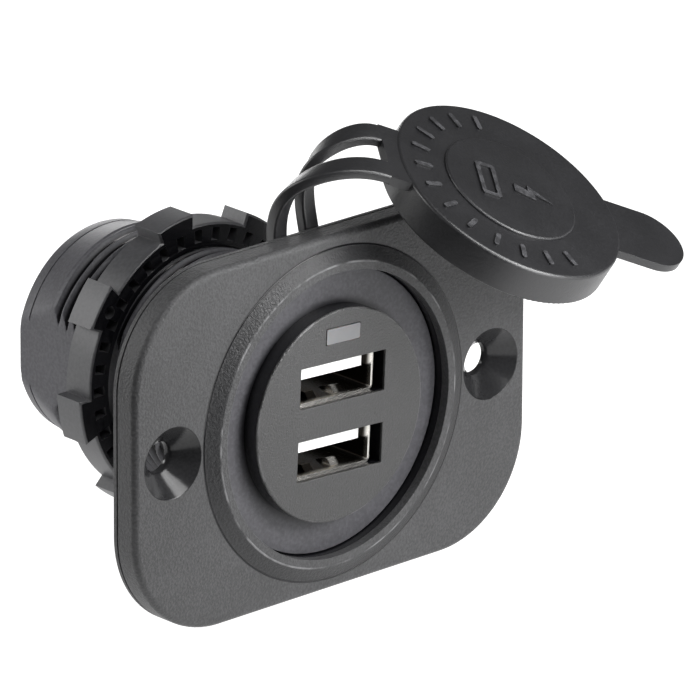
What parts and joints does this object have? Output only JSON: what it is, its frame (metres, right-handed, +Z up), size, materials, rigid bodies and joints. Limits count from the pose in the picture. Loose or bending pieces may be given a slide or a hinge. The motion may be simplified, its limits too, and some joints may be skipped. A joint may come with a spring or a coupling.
{
  "type": "panel-mount twin charging socket",
  "caption": "Panel-mount in-vehicle charging socket: rounded plate with screw holes, recessed port module, threaded barrel, ring nut and a tethered rubber dust cap.",
  "frame": {"origin": "centre of the mounting plate's back face, on the socket's axis, midway between the screw holes", "axes": "+X to the right seen from the front, +Y to the back of the panel along the barrel, +Z up; the front faces -Y"},
  "size_m": [0.0773, 0.0736, 0.0594],
  "materials": {
    "plate_plastic": "fine spark-eroded texture",
    "barrel_plastic": "fine texture",
    "module_plastic": "fine texture",
    "nut_plastic": "smooth satin",
    "window_diffuser": "translucent",
    "led_body": "clear resin",
    "port_steel": "plated",
    "tongue_plastic": "moulded",
    "contact_metal": "plated",
    "board_laminate": "lacquered",
    "inductor_core": "ferrite",
    "capacitor_can": "can",
    "chip_body": "moulded",
    "terminal_metal": "tinned",
    "cap_rubber": "moulded satin"
  },
  "bodies": {
    "socket": {"mounting_plate": "plate_plastic", "socket_barrel": "barrel_plastic", "module_face": "module_plastic", "indicator_window": "window_diffuser", "indicator_led": "led_body", "upper_port_shell": "port_steel", "lower_port_shell": "port_steel", "upper_port_tongue": "tongue_plastic", "lower_port_tongue": "tongue_plastic", "upper_port_contacts": "contact_metal", "lower_port_contacts": "contact_metal", "port_board": "board_laminate", "main_board": "board_laminate", "inductor": "inductor_core", "input_capacitor": "capacitor_can", "output_capacitor": "capacitor_can", "converter_chip": "chip_body", "rear_cover": "barrel_plastic", "positive_terminal": "terminal_metal", "negative_terminal": "terminal_metal", "ring_nut": "nut_plastic", "cap_ring": "cap_rubber", "cap_straps": "cap_rubber"},
    "cap": {"dust_cap": "cap_rubber"}
  },
  "joints": [
    {"name": "cap_swing", "type": "hinge", "parent": "socket", "child": "cap", "pos_m": [-0.00001, 0.00152, 0.0214], "axis": [0.5873, 0.6271, -0.5116], "range_deg": [0, 81.2], "stiffness_Nm_per_rad": 0.05, "deforming": ["cap_straps"]}
  ]
}
